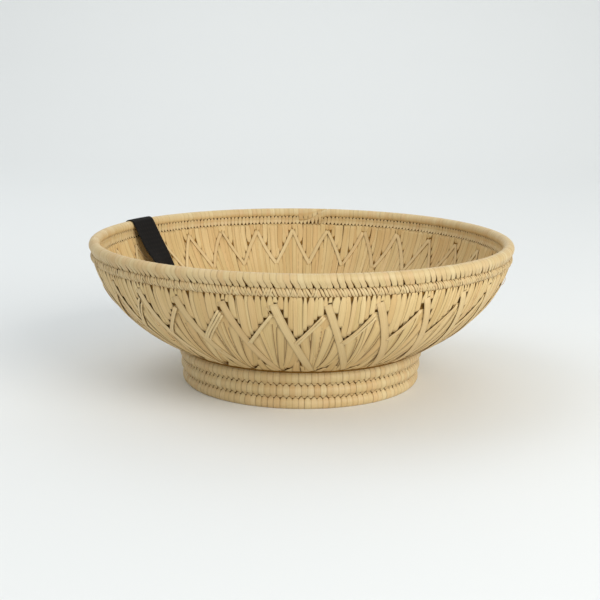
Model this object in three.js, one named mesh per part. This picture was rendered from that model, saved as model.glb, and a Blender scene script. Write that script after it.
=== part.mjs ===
import * as THREE from "three";

// Grass basket in millimetres. +Z is up, z = 0 is the surface that the basket stands on,
// and the basket's axis is x = y = 0. Azimuth 0 faces the viewer (-Y) and grows towards +X.

// Bowl
const rimDiameter = 254;
const insideDepth = 60.3;
const wallThickness = 4;
const wallUprightRise = 1; // the wall would stand upright this far above the rim's top
const floorBundle = 4.9;

// Foot
const footDiameter = 148.6;
const footBundle = 7.2;
const footLoops = 3;
const footBatter = 0.9; // how far each loop stands in from the loop above it
const footLip = 0.4; // how far the bowl stands out over the foot
const footFlat = footBundle / 10; // how deep the lowest loop is cut flat

// Rim
const rimBundle = 6.4;
const rowBundle = 5.2; // the second row, just under the rim
const rowInset = 1; // how far the second row stands in from the rim

// Leaf strips on the wall
const unitCount = 30; // zigzags round the basket
const unitCrowding = 0.07; // zigzags are this share wider in front and narrower behind
const skinThickness = 0.7;
const skinInset = 0.4; // how far the leaf strips lie under the wall's line
const fanDrop = 31.3; // from the second row down to a fan's point, along the wall
const fanPeakDrop = 10.5; // from the second row down to a zigzag's peak
const fanLean = 0.38; // where a fan's point lies between two peaks
const leafSplit = 1; // between the fans and the leaves below them
const stripWidth = 3.8;
const stripThickness = 0.6;
const stripTopDrop = 3.8;
const stripFootRise = 2;
const stripRun = 0.88; // how far round a strip runs on its way down, in zigzags
const strandCount = 29; // zigzags of the thin strand round the inside
const strandPeakAzimuth = 171; // where one of its peaks lies
const strandWidth = 1.8;
const strandThickness = 0.9;
const strandTopDrop = 3.8; // from the second row down to a peak's middle
const strandDrop = 29;

// Cloth label folded over the rim
const labelAzimuth = -119.8;
const labelWidth = 20.8;
const labelThickness = 0.8;
const labelTail = 36;
const labelLegDrop = 12; // how far the outer leg hangs below the rim's centre
const labelLean = 59; // slope of the tail below the horizontal, in degrees
const labelHingeGap = 0.4;

// Clearances
const seatGap = 0.3;
const skinGap = 0.35; // between the wall and its skins, and between a skin and what crosses it
const loopGap = 0.48; // between neighbouring loops of one bundle
const coilTip = 1.2; // the thinnest end of a tapered bundle

// Fineness of the shapes
const coilSteps = 36;
const coilSides = 8;
const floorSteps = 24;
const floorSides = 6;
const wallSegments = 60;
const wallRows = 7;
const fanRows = 4;
const leafRows = 5;
const stripSteps = 6;
const climbAngle = 60;
const climbAzimuth = 150; // where each climb ends, on the basket's back

// Sizes that follow from these
const rimRadius = rimDiameter / 2;
const footRadius = footDiameter / 2;
const footTop = footLoops * footBundle - footFlat + (footLoops - 1) * loopGap;
const bowlBottom = footTop + seatGap;
const floorTop = bowlBottom + floorBundle;
const rimTop = floorTop + insideDepth;
const rimBottom = rimTop - rimBundle;
const rowBottom = rimBottom - loopGap - rowBundle;
const wallTop = rowBottom - seatGap;

// The wall's reference line is an arc of an ellipse, from the foot's edge up to the second row.
// Leaf strips lie just under it and wide strips cross just over it.
const wallFootRadius = footRadius + footLip;
const wallCentre = rimTop + wallUprightRise;
const wallReach = rimRadius;
const wallFall = (wallCentre - bowlBottom) / Math.sqrt(1 - (wallFootRadius / wallReach) ** 2);
const wallLine = new THREE.EllipseCurve(
  0,
  wallCentre,
  wallReach,
  wallFall,
  -Math.asin((wallCentre - bowlBottom) / wallFall),
  -Math.asin((wallCentre - wallTop) / wallFall),
);
const wallLength = wallLine.getLength();
const skinOuter = -skinInset;
const skinInner = skinOuter - skinThickness;
const wallOuter = skinInner - skinGap;
const wallInner = wallOuter - wallThickness;
const stripInner = skinOuter + skinGap;
const strandOuter = wallInner - skinGap;
const baseInner = wallFootRadius + wallInner;
const floorRadius = baseInner - skinGap;

const degrees = Math.PI / 180;
const lerp = THREE.MathUtils.lerp;
const ease = (x) => x * x * (3 - 2 * x);

function around(azimuth, radius, height) {
  const angle = azimuth * degrees;
  return new THREE.Vector3(radius * Math.sin(angle), -radius * Math.cos(angle), height);
}

// The azimuth of a place counted in zigzags, with a strip's top at each half.
function unitAzimuth(unit) {
  const turn = (2 * Math.PI * unit) / unitCount;
  return (turn + unitCrowding * Math.sin(turn)) / degrees;
}

// Radius and height of a point at an arc length up the wall, pushed out by an offset.
function wallProfile(rise, offset) {
  const share = rise / wallLength;
  const point = wallLine.getPointAt(share);
  const tangent = wallLine.getTangentAt(share);
  return new THREE.Vector2(point.x + tangent.y * offset, point.y - tangent.x * offset);
}

function onWall(unit, rise, offset) {
  const point = wallProfile(rise, offset);
  return around(unitAzimuth(unit), point.x, point.y);
}

// A closed body through rings of points. Open rows of rings are capped, closed ones meet.
// Each four-cornered patch is split along its shorter diagonal.
function loft(rings, closed) {
  const sides = rings[0].length;
  const points = rings.flat();
  const positions = points.flatMap((point) => point.toArray());
  const index = [];
  const last = closed ? rings.length : rings.length - 1;
  for (let ring = 0; ring < last; ring += 1) {
    const next = (ring + 1) % rings.length;
    for (let side = 0; side < sides; side += 1) {
      const after = (side + 1) % sides;
      const a = ring * sides + side;
      const b = ring * sides + after;
      const c = next * sides + after;
      const d = next * sides + side;
      if (points[a].distanceTo(points[c]) < points[b].distanceTo(points[d])) {
        index.push(a, b, c, a, c, d);
      } else {
        index.push(a, b, d, b, c, d);
      }
    }
  }
  if (!closed) {
    const end = (rings.length - 1) * sides;
    for (let side = 1; side < sides - 1; side += 1) {
      index.push(0, side + 1, side);
      index.push(end, end + side, end + side + 1);
    }
  }
  const geometry = new THREE.BufferGeometry();
  geometry.setAttribute("position", new THREE.Float32BufferAttribute(positions, 3));
  geometry.setIndex(index);
  return geometry;
}

// A section of a bundle with its flats level, from its centre radius, bottom and thickness.
function bundleSection(azimuth, radius, bottom, thickness, sides) {
  const reach = thickness / 2 / Math.cos(Math.PI / sides);
  const ring = [];
  for (let side = 0; side < sides; side += 1) {
    const angle = ((side + 0.5) / sides) * 2 * Math.PI - Math.PI / 2;
    const out = radius + reach * Math.cos(angle);
    const height = bottom + thickness / 2 + reach * Math.sin(angle);
    ring.push(around(azimuth, out, Math.max(height, 0)));
  }
  return ring;
}

// The least distance between points of a bundle that lie half a loop or more apart along it.
function leastGap(rings, steps) {
  let least = Infinity;
  for (let first = 0; first < rings.length; first += 1) {
    for (let second = first + steps / 2; second < rings.length; second += 1) {
      for (const a of rings[first]) {
        for (const b of rings[second]) {
          least = Math.min(least, a.distanceTo(b));
        }
      }
    }
  }
  return least;
}

// Centre radius, bottom and thickness of a stacked coil at an angle along it. Each loop lies
// level, then climbs to the next, and both ends taper into the wedges that the climbs leave.
function stackedBundle(loops, angle) {
  const last = loops.length - 1;
  const loop = Math.floor(angle / 360);
  const climb = ease(Math.max(0, (angle - (loop + 1) * 360 + climbAngle) / climbAngle));
  if (loop < 0) {
    const under = lerp(loops[0].bottom, loops[1].bottom, climb) - loopGap;
    return { ...loops[0], thickness: under - loops[0].bottom };
  }
  if (loop >= last && climb > 0) {
    const below = loops[last - 1];
    const top = loops[last].bottom + loops[last].thickness;
    const bottom = lerp(below.bottom + below.thickness, top, climb) + loopGap;
    return { centre: loops[last].centre, bottom, thickness: top - bottom };
  }
  const from = loops[loop];
  const to = loops[Math.min(loop + 1, last)];
  return {
    centre: lerp(from.centre, to.centre, climb),
    bottom: lerp(from.bottom, to.bottom, climb),
    thickness: lerp(from.thickness, to.thickness, climb),
  };
}

function stackedCoil(name, loops) {
  const step = 360 / coilSteps;
  const rings = [];
  for (let angle = -climbAngle; angle < loops.length * 360; angle += step) {
    const { centre, bottom, thickness } = stackedBundle(loops, angle);
    if (thickness >= coilTip) {
      rings.push(bundleSection(climbAzimuth - angle, centre, bottom, thickness, coilSides));
    }
  }
  console.log(name + " least gap to itself " + leastGap(rings, coilSteps).toFixed(2) + " mm");
  return loft(rings, false);
}

function footCoil() {
  const loops = [];
  for (let loop = 0; loop < footLoops; loop += 1) {
    loops.push({
      centre: footRadius - footBundle / 2 - (footLoops - 1 - loop) * footBatter,
      bottom: loop * (footBundle + loopGap) - footFlat,
      thickness: footBundle,
    });
  }
  return stackedCoil("foot_coil", loops);
}

function rimCoil() {
  const rowCentre = rimRadius - rowInset - rowBundle / 2;
  const rimCentre = rimRadius - rimBundle / 2;
  return stackedCoil("rim_coil", [
    { centre: rowCentre, bottom: rowBottom, thickness: rowBundle },
    { centre: rimCentre, bottom: rimBottom, thickness: rimBundle },
  ]);
}

// The floor is one bundle wound flat, out from the centre. Its last loop thins away to nothing
// inside the floor's edge.
function floorCoil() {
  const reach = floorBundle / 2 / Math.cos(Math.PI / floorSides);
  const start = reach + coilTip / 2;
  const room = floorRadius - reach - start;
  const loops = Math.floor(room / (2 * reach + loopGap));
  const pitch = room / loops;
  const rings = [];
  for (let step = 0; step < (loops + 1) * floorSteps; step += 1) {
    const turn = step / floorSteps;
    const thinned = Math.max(0, turn - loops) * pitch;
    const width = 2 * reach - thinned;
    const share = width / (2 * reach);
    if (width >= coilTip) {
      const radius = turn < loops ? start + pitch * turn : floorRadius - width / 2;
      const thickness = floorBundle * share;
      rings.push(bundleSection(-turn * 360, radius, bowlBottom, thickness, floorSides));
    }
  }
  console.log("floor_coil least gap to itself " + leastGap(rings, floorSteps).toFixed(2) + " mm");
  return loft(rings, false);
}

// A point of the wall slid along the wall's own slope to a height.
function levelled(rise, offset, height) {
  const point = wallProfile(rise, offset);
  const slope = wallLine.getTangentAt(rise / wallLength);
  return new THREE.Vector2(point.x - ((point.y - height) * slope.x) / slope.y, height);
}

// The wall: a bowl with a level base ring on the foot and a level top under the second row.
function bowlWall() {
  const outer = [levelled(0, wallOuter, bowlBottom)];
  const inner = [new THREE.Vector2(baseInner, floorTop), levelled(0, wallInner, floorTop)];
  for (let row = 1; row < wallRows; row += 1) {
    const rise = (row / wallRows) * wallLength;
    outer.push(wallProfile(rise, wallOuter));
    inner.push(wallProfile(rise, wallInner));
  }
  outer.push(levelled(wallLength, wallOuter, wallTop));
  inner.push(levelled(wallLength, wallInner, wallTop));
  const start = new THREE.Vector2(baseInner, bowlBottom);
  const profile = [start, ...outer, ...inner.reverse(), start];
  const geometry = new THREE.LatheGeometry(profile, wallSegments);
  geometry.rotateX(Math.PI / 2);
  return geometry;
}

// The zigzag line between the fans and the leaves, at each of its four places in a unit.
const zigzagPlaces = [0, fanLean / 2, fanLean, (1 + fanLean) / 2];

function zigzagRise(place) {
  const peak = wallLength - fanPeakDrop;
  const point = wallLength - fanDrop;
  const fall = place < fanLean ? place / fanLean : (1 - place) / (1 - fanLean);
  return lerp(peak, point, fall);
}

// A ring of leaf strips that lies on the wall between two lines.
function wallSkin(bottomAt, topAt, rows) {
  const rings = [];
  for (let unit = 0; unit < unitCount; unit += 1) {
    for (const place of zigzagPlaces) {
      const bottom = bottomAt(place);
      const top = topAt(place);
      const ring = [];
      for (let row = 0; row <= rows; row += 1) {
        ring.push(onWall(unit + 0.5 + place, lerp(bottom, top, row / rows), skinInner));
      }
      for (let row = rows; row >= 0; row -= 1) {
        ring.push(onWall(unit + 0.5 + place, lerp(bottom, top, row / rows), skinOuter));
      }
      rings.push(ring);
    }
  }
  return loft(rings, true);
}

const upperFans = () => wallSkin(zigzagRise, () => wallLength - seatGap, fanRows);
const lowerLeaves = () => wallSkin(() => seatGap, (place) => zigzagRise(place) - leafSplit, leafRows);

// The four corners of a flat strip at a place on the wall, square to the way that it runs.
function stripSection(unit, rise, ahead, width, inner, outer) {
  const centre = onWall(unit, rise, inner);
  const normal = onWall(unit, rise, outer).sub(centre).normalize();
  const along = onWall(ahead.unit, ahead.rise, inner).sub(centre).normalize();
  const side = along.cross(normal).multiplyScalar(width / 2);
  const lift = normal.multiplyScalar(outer - inner);
  return [
    centre.clone().add(side),
    centre.clone().sub(side),
    centre.clone().sub(side).add(lift),
    centre.clone().add(side).add(lift),
  ];
}

// A wide strip that crosses the wall from under the second row down to the foot.
function diagonalStrip(unit) {
  const top = wallLength - stripTopDrop;
  const placeAt = (share) => ({
    unit: unit + 0.5 + (stripRun * (top - lerp(top, stripFootRise, share))) / top,
    rise: lerp(top, stripFootRise, share),
  });
  const rings = [];
  for (let step = 0; step <= stripSteps; step += 1) {
    const here = placeAt(step / stripSteps);
    const ahead = placeAt((step + 0.1) / stripSteps);
    const outer = stripInner + stripThickness;
    rings.push(stripSection(here.unit, here.rise, ahead, stripWidth, stripInner, outer));
  }
  return loft(rings, false);
}

// The thin strand that zigzags once round the inside, just under the second row.
// Its slope makes its upright reach longer than its width.
function innerZigzag() {
  const top = wallLength - strandTopDrop;
  const middle = wallProfile(top - strandDrop / 2, strandOuter);
  const armRun = (Math.PI * middle.x) / strandCount;
  const upright = strandWidth * Math.hypot(1, strandDrop / armRun);
  const rings = [];
  for (let step = 0; step < strandCount * 4; step += 1) {
    const azimuth = strandPeakAzimuth + (step * 90) / strandCount;
    const rise = top - strandDrop * (1 - Math.abs(1 - ((step / 2) % 2)));
    const ring = [];
    for (const [lift, reach] of [
      [-1, strandOuter - strandThickness],
      [1, strandOuter - strandThickness],
      [1, strandOuter],
      [-1, strandOuter],
    ]) {
      const point = wallProfile(rise + (lift * upright) / 2, reach);
      ring.push(around(azimuth, point.x, point.y));
    }
    rings.push(ring);
  }
  return loft(rings, true);
}

// The label is drawn in the rim's own section, x outwards and y up, and pushed along the rim.
// Its fold clears the rim's corners and the rim's curve across the label's width.
const foldCentre = new THREE.Vector2(rimRadius - rimBundle / 2, rimBottom + rimBundle / 2);
const rimCorner = rimBundle / 2 / Math.cos(Math.PI / coilSides);
const labelCurve = labelWidth ** 2 / (8 * (rimRadius - rimBundle));
const labelFold = rimCorner + seatGap + labelCurve;
const labelLeave = Math.PI / 2 + labelLean * degrees;
const tailWay = new THREE.Vector2(-Math.sin(labelLeave), Math.cos(labelLeave));
const tailFace = new THREE.Vector2(Math.cos(labelLeave), Math.sin(labelLeave));

function labelExtrusion(shape) {
  const geometry = new THREE.ExtrudeGeometry(shape, {
    depth: labelWidth,
    bevelEnabled: false,
    curveSegments: 10,
  });
  geometry.translate(0, 0, -labelWidth / 2);
  geometry.rotateX(Math.PI / 2);
  return geometry;
}

function labelSaddle() {
  const legFoot = foldCentre.y - labelLegDrop;
  const shape = new THREE.Shape();
  shape.moveTo(foldCentre.x + labelFold + labelThickness, legFoot);
  shape.absarc(foldCentre.x, foldCentre.y, labelFold + labelThickness, 0, labelLeave, false);
  shape.absarc(foldCentre.x, foldCentre.y, labelFold, labelLeave, 0, true);
  shape.lineTo(foldCentre.x + labelFold, legFoot);
  shape.closePath();
  return labelExtrusion(shape);
}

function labelTailSolid() {
  const start = foldCentre.clone().addScaledVector(tailFace, labelFold);
  start.addScaledVector(tailWay, labelHingeGap);
  const end = start.clone().addScaledVector(tailWay, labelTail);
  const shape = new THREE.Shape();
  shape.moveTo(start.x, start.y);
  for (const corner of [
    start.clone().addScaledVector(tailFace, labelThickness),
    end.clone().addScaledVector(tailFace, labelThickness),
    end,
  ]) {
    shape.lineTo(corner.x, corner.y);
  }
  shape.closePath();
  return labelExtrusion(shape);
}

// Finishes
const finishes = {
  grass: { color: 0xc9b07c, roughness: 0.78, metalness: 0 },
  wrappedGrass: { color: 0xd6bf8c, roughness: 0.7, metalness: 0 },
  palmLeaf: { color: 0xd2bb86, roughness: 0.66, metalness: 0 },
  paleStrand: { color: 0xe2cfa2, roughness: 0.66, metalness: 0 },
  tape: { color: 0x1b1b1d, roughness: 0.85, metalness: 0 },
};

function piece(name, geometry, finish) {
  const mesh = new THREE.Mesh(geometry, new THREE.MeshStandardMaterial(finishes[finish]));
  mesh.name = name;
  return mesh;
}

const basket = new THREE.Group();
basket.add(
  piece("floor_coil", floorCoil(), "wrappedGrass"),
  piece("foot_coil", footCoil(), "wrappedGrass"),
  piece("bowl_wall", bowlWall(), "grass"),
  piece("rim_coil", rimCoil(), "wrappedGrass"),
  piece("upper_fans", upperFans(), "palmLeaf"),
  piece("lower_leaves", lowerLeaves(), "palmLeaf"),
  piece("inner_zigzag", innerZigzag(), "paleStrand"),
);
for (let unit = 0; unit < unitCount; unit += 1) {
  const name = "diagonal_strip_" + String(unit + 1).padStart(2, "0");
  basket.add(piece(name, diagonalStrip(unit), "paleStrand"));
}

const label = new THREE.Group();
label.rotation.z = (labelAzimuth - 90) * degrees;
label.add(piece("label_saddle", labelSaddle(), "tape"), piece("label_tail", labelTailSolid(), "tape"));
basket.add(label);

export default basket;
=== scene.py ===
import math
import random
from collections import namedtuple
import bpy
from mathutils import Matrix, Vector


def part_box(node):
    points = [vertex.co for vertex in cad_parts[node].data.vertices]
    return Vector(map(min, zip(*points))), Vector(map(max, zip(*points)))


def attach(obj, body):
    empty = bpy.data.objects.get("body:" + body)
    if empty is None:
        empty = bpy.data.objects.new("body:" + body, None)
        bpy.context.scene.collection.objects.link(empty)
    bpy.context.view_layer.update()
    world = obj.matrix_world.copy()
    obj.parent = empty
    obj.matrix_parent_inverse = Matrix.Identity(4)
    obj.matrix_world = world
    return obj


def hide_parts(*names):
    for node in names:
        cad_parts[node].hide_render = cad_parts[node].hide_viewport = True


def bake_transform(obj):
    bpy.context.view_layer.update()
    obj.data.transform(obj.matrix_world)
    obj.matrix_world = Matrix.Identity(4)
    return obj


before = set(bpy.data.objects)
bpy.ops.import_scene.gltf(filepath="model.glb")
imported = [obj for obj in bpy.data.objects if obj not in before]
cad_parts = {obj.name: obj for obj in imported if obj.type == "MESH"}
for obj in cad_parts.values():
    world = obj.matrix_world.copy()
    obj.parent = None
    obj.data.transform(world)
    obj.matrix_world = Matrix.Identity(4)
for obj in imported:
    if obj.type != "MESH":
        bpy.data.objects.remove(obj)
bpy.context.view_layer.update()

from types import SimpleNamespace

import bmesh
import bpy
from mathutils import Matrix, Vector, noise

# Everything is worked out in millimetres and written in metres.
# Azimuth 0 faces the camera (-Y) and grows towards +X. Heights start at the table.
toMetres = 0.001


def nodeBox(name):
    low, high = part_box(name)
    return low / toMetres, high / toMetres


rimHigh = nodeBox("rim_coil")[1]
footHigh = nodeBox("foot_coil")[1]
floorLow = nodeBox("floor_coil")[0]
wallLow, wallHigh = nodeBox("bowl_wall")

basket = {
    "rimRadius": rimHigh.x,
    "footRadius": footHigh.x,
    "footLip": 0.4,  # how far the wall stands out over the foot
    "uprightRise": 1,  # how far over the rim the wall would stand upright
    "bundlePitch": 5.2,  # of the grass bundles in the wall
}

# How zigzags are spread round the basket, one to a unit: outside they are wider in front.
outside = {"count": 30, "crowding": 0.07, "start": 0}
inside = {"count": 29, "crowding": 0, "start": 171}
units = range(outside["count"])

# The wall's curve is known every quarter millimetre, from a little below the foot.
wallPlan = {"step": 0.25, "stepsBelow": 24, "stepsAbove": 340}


def mix(low, high, share):
    return low + (high - low) * share


def mixAll(low, high, share):
    return [mix(a, b, share) for a, b in zip(low, high)]


def ease(share):
    share = min(1, max(0, share))
    return share * share * (3 - 2 * share)


# The wall, measured in millimetres along its curve from the foot up.
def wallCurve():
    reach = basket["rimRadius"]
    centre = rimHigh.z + basket["uprightRise"]
    drop = centre - wallLow.z
    fall = drop / math.sqrt(1 - ((basket["footRadius"] + basket["footLip"]) / reach) ** 2)
    wallStep = wallPlan["step"]
    rows = {}
    for way, count in ((1, wallPlan["stepsBelow"]), (-1, wallPlan["stepsAbove"])):
        angle = math.asin(drop / fall)
        for step in range(count):
            across = reach * math.sin(angle)
            up = fall * math.cos(angle)
            speed = math.hypot(across, up)
            place = reach * math.cos(angle), centre - fall * math.sin(angle)
            rows[-way * step * wallStep] = (*place, up / speed, -across / speed)
            angle += way * wallStep / speed
    return [rows[key] for key in sorted(rows)], min(rows)


wallRows, wallStart = wallCurve()
wallLength = wallStart + wallPlan["step"] * next(i for i, row in enumerate(wallRows) if row[1] >= wallHigh.z)


# Radius and height on the wall, and the direction that faces out of it.
def wallAt(rise):
    place = min(max((rise - wallStart) / wallPlan["step"], 0), len(wallRows) - 1.001)
    index = int(place)
    return mixAll(wallRows[index], wallRows[index + 1], place - index)


def unitAngle(unit, spread=outside):
    turn = 2 * math.pi * unit / spread["count"]
    return turn + spread["crowding"] * math.sin(turn) + math.radians(spread["start"])


def unitWidth(unit, rise, spread=outside):
    turn = 2 * math.pi * unit / spread["count"]
    radius = wallAt(rise)[0]
    return radius * 2 * math.pi / spread["count"] * (1 + spread["crowding"] * math.cos(turn))


def around(angle, radius, height):
    return Vector((radius * math.sin(angle), -radius * math.cos(angle), height)) * toMetres


def onWall(unit, rise, lift, spread=outside):
    radius, height, outward, upward = wallAt(rise)
    return around(unitAngle(unit, spread), radius + outward * lift, height + upward * lift)


# Colours and shader nodes
def colour(code):
    def linear(part):
        value = int(part, 16) / 255
        return value / 12.92 if value <= 0.04045 else ((value + 0.055) / 1.055) ** 2.4

    return tuple(linear(code[i : i + 2]) for i in (1, 3, 5)) + (1,)


def setInputs(tree, node, inputs):
    for key, value in inputs.items():
        if isinstance(value, bpy.types.NodeSocket):
            tree.links.new(value, node.inputs[key])
        else:
            node.inputs[key].default_value = value


def addNode(tree, kind, inputs=None, **settings):
    node = tree.nodes.new("ShaderNode" + kind)
    for key, value in settings.items():
        setattr(node, key, value)
    setInputs(tree, node, inputs or {})
    return node


def setStops(node, stops):
    elements = node.color_ramp.elements
    while len(elements) < len(stops):
        elements.new(0.5)
    for element, (place, value) in zip(elements, stops):
        element.position = place
        element.color = colour(value)
    return node


def startMaterial(name):
    material = bpy.data.materials.new(name)
    material.use_nodes = True
    return material, material.node_tree, material.node_tree.nodes["Principled BSDF"]


# Dried palm leaf, split and pressed flat: fine lines run along each strip, with a dull sheen.
# The other finishes change what differs from it. Fibre, its run and patch are sizes in metres.
leafLook = {
    "colours": ((0.12, "#b0905a"), (0.38, "#ccb078"), (0.6, "#dac08b"), (0.88, "#ebd8a9")),
    "leanColour": "#f8e6d8",
    "lean": 0.5,
    # the colour that painted shade in edges and hollows darkens towards
    "grooveColour": "#76552a",
    "fibre": 0.0005, "fibreRun": 0.03, "fibreTint": 0.5, "patch": 0.02, "patchTint": 0.18,
    "toneShift": 91.7,  # moves the noise on from strip to strip
    "roughness": (0.5, 0.66), "bump": 0.5, "gloss": 0.35,
}


# The attribute strip holds metres across, metres along and a tone from 0 to 1, so that the fibres
# run along each strip. The other attribute is painted shade: it darkens strip edges and the pinched
# places between wraps towards the shade colour.
def leafMaterial(name, **look):
    look = {**leafLook, **look}
    material, tree, shader = startMaterial(name)
    strip = addNode(tree, "Attribute", attribute_name="strip").outputs["Vector"]
    scales = (1 / look["fibre"], 1 / look["fibreRun"], look["toneShift"])
    place = addNode(tree, "VectorMath", {0: strip, 1: scales}, operation="MULTIPLY").outputs[0]
    fibres = addNode(tree, "TexNoise", {"Vector": place, "Scale": 1.0, "Detail": 3.0, "Roughness": 0.6})
    fibres = fibres.outputs["Fac"]
    body = addNode(tree, "TexCoord").outputs["Object"]
    patches = addNode(tree, "TexNoise", {"Vector": body, "Scale": 1 / look["patch"], "Detail": 2.0})
    shift = addNode(tree, "SeparateXYZ", {0: place}).outputs[2]
    tone = addNode(tree, "SeparateXYZ", {0: strip}).outputs[2]
    fibreTint, patchTint = look["fibreTint"], look["patchTint"]
    parts = (tone, 1 - fibreTint - patchTint), (fibres, fibreTint), (patches.outputs["Fac"], patchTint)
    level = 0.0
    for source, share in parts:
        level = addNode(tree, "Math", {0: source, 1: share, 2: level}, operation="MULTIPLY_ADD").outputs[0]
    ramp = setStops(addNode(tree, "ValToRGB", {0: level}), look["colours"]).outputs[0]

    # Each strip leans a little to its own second hue.
    hue = addNode(tree, "TexNoise", {"W": shift, "Scale": 1.0, "Detail": 0.0}, noise_dimensions="1D")
    lean = addNode(tree, "MapRange", {0: hue.outputs["Fac"], 1: 0.35, 2: 0.75, 3: 0.0, 4: look["lean"]})
    second = {"Factor": lean.outputs[0], "A": ramp, "B": colour(look["leanColour"])}
    tinted = addNode(tree, "Mix", second, data_type="RGBA", blend_type="MULTIPLY").outputs["Result"]
    # Painted shade: the leaf colour is mixed towards the shade colour where the mesh asks for it.
    groove = addNode(tree, "Attribute", attribute_name="groove").outputs["Fac"]
    darker = {"Factor": groove, "A": tinted, "B": colour(look["grooveColour"])}
    shaded = addNode(tree, "Mix", darker, data_type="RGBA").outputs["Result"]
    rough = addNode(tree, "MapRange", {0: fibres, 3: look["roughness"][0], 4: look["roughness"][1]})
    raised = {"Height": fibres, "Strength": look["bump"], "Distance": look["fibre"] * 0.35}
    normal = addNode(tree, "Bump", raised).outputs[0]
    setInputs(tree, shader, {"Base Color": shaded, "Roughness": rough.outputs[0], "Normal": normal})
    setInputs(tree, shader, {"IOR": 1.5, "Specular IOR Level": look["gloss"]})
    return material


palmLeaf = leafMaterial("driedPalmLeafSplit")

# The outer wide strips and thin strands are the palest of the leaf, a little smoother.
paleLeaf = leafMaterial(
    "palePalmLeafSplit",
    colours=((0.12, "#b89a66"), (0.38, "#ceb480"), (0.6, "#dcc594"), (0.88, "#ebdab0")),
    leanColour="#f8e8dc",
    fibreRun=0.04, bump=0.45, gloss=0.38,
)

# Leaf strip drawn tight round a bundle: smoother and shinier than the loose strips.
wrappedLeaf = leafMaterial(
    "palmLeafWrappedTight",
    colours=((0.12, "#b29560"), (0.38, "#c8ae7a"), (0.6, "#d4bf90"), (0.88, "#e4d5ad")),
    leanColour="#f8e6dc",
    lean=0.55,
    # painted shade between the wraps darkens towards this colour
    grooveColour="#7a582c",
    fibre=0.0006, fibreRun=0.02, fibreTint=0.44, patch=0.04, patchTint=0.2, roughness=(0.44, 0.58),
    bump=0.25, gloss=0.4,
)

# Grass bundles under the leaf: brown and dull, only seen deep in the gaps. Their brown is darker
# than the grass's own, as painted shade for those gaps.
grassCoreWithPaintedShade = leafMaterial(
    "driedGrassBundleWithPaintedShade",
    colours=((0.1, "#644618"), (0.4, "#7f5b25"), (0.65, "#946f34"), (0.95, "#ab8548")),
    leanColour="#e8d8c0",
    grooveColour="#563a14",
    fibre=0.0008, fibreRun=0.02, patchTint=0.2, roughness=(0.75, 0.9), gloss=0.15,
)
print("leaf and grass materials done")


def addObject(name, data):
    made = bpy.data.objects.new(name, data)
    bpy.context.scene.collection.objects.link(made)
    return made


def makeObject(name, bm, material):
    mesh = bpy.data.meshes.new(name)
    bm.to_mesh(mesh)
    bm.free()
    mesh.polygons.foreach_set("use_smooth", [True] * len(mesh.polygons))
    mesh.materials.append(material)
    return addObject(name, mesh)


def thicken(piece, thickness, offset):
    solidify = piece.modifiers.new("thickness", "SOLIDIFY")
    solidify.thickness = thickness * toMetres
    solidify.offset = offset


# Work in hand on one piece: its mesh, and the two layers that the leaf materials read.
def startPiece():
    bm = bmesh.new()
    layers = bm.verts.layers
    return SimpleNamespace(bm=bm, strip=layers.float_vector.new("strip"), groove=layers.float.new("groove"))


def startSeeded(look):
    return random.Random(look["seed"]), startPiece()


def finishPiece(name, work, material, thickness=0.0, replaced=()):
    piece = makeObject(name, work.bm, material)
    if thickness:
        thicken(piece, thickness, -1)
    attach(piece, "basket")
    if replaced:
        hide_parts(*replaced)


def addGrid(bm, columns, rows):
    return bmesh.ops.create_grid(bm, x_segments=columns, y_segments=rows, size=0.5)["verts"]


# One strip: a grid moved by place(across, along), with across from -0.5 to 0.5 and along from 0
# to 1. Size is its width and length. Its outer columns are narrow, for a thin dark edge of painted
# shade, as strong as edge.
def addStrip(work, place, size, tone, grid, edge):
    for vert in addGrid(work.bm, *grid):
        across = 0.5 * math.sin(math.pi * vert.co.x)
        along = vert.co.y + 0.5
        vert[work.strip] = (across * size[0] * toMetres, along * size[1] * toMetres, tone)
        vert[work.groove] = edge * (2 * abs(across)) ** 8
        vert.co = place(across, along)


def sway(rng, amount):
    return rng.uniform(-amount, amount)


def someTone(rng, middle, spread):
    return min(0.98, max(0.02, rng.gauss(middle, spread)))


leafThickness = 0.22
wallStripLook = {
    "side": 1,  # 1 outside, -1 inside
    "spread": outside, "base": 0, "crown": 0.1, "tilt": 0.12, "bow": 0.3, "bulge": 0, "arch": 0,
    "cut": 0, "dip": (0.5, 0.5), "tuck": 1.6,
    "tone": (0.5, 0.12),  # middle and spread
    # edge: painted shade along the strip's sides
    "edge": 0.3, "grid": (4, 12),
}


# A strip on the wall between two places given as (unit, rise). Its ends dip under what it meets.
def wallStrip(work, rng, start, end, **look):
    look = {**wallStripLook, **look}
    side, spread, widths, lifts, dip = (look[key] for key in ("side", "spread", "widths", "lifts", "dip"))
    tone = someTone(rng, *look["tone"])
    tilt = sway(rng, 1) * look["tilt"]
    bow = sway(rng, 1) * look["bow"] + look["bulge"]
    wave = rng.uniform(0, 6.28)
    wide, tall = end[0] - start[0], end[1] - start[1]
    length = math.hypot(wide * unitWidth(*mixAll(start, end, 0.5), spread), tall)

    def place(across, along):
        unit, rise = mixAll(start, end, along)
        perUnit = unitWidth(unit, rise, spread)
        run = Vector((wide * perUnit, tall)).normalized()
        width = widths(along) if callable(widths) else mix(*widths, along)
        sideways = across * width + bow * 4 * along * (1 - along) + 0.12 * math.sin(wave + along * 7)
        unit += side * sideways * run.y / perUnit
        rise -= side * sideways * run.x
        rise += side * look["cut"] * across * width * along
        lift = mix(*lifts, along) + look["crown"] * (1 - 4 * across * across)
        lift += tilt * across * 2 + look["arch"] * 4 * along * (1 - along)
        lift -= dip[0] * (1 - ease(along * length / look["tuck"]))
        lift -= dip[1] * (1 - ease((1 - along) * length / look["tuck"]))
        return onWall(unit, rise, side * lift + look["base"], spread)

    width = widths(0.5) if callable(widths) else max(widths)
    addStrip(work, place, (width, length), tone, look["grid"], look["edge"])


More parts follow.
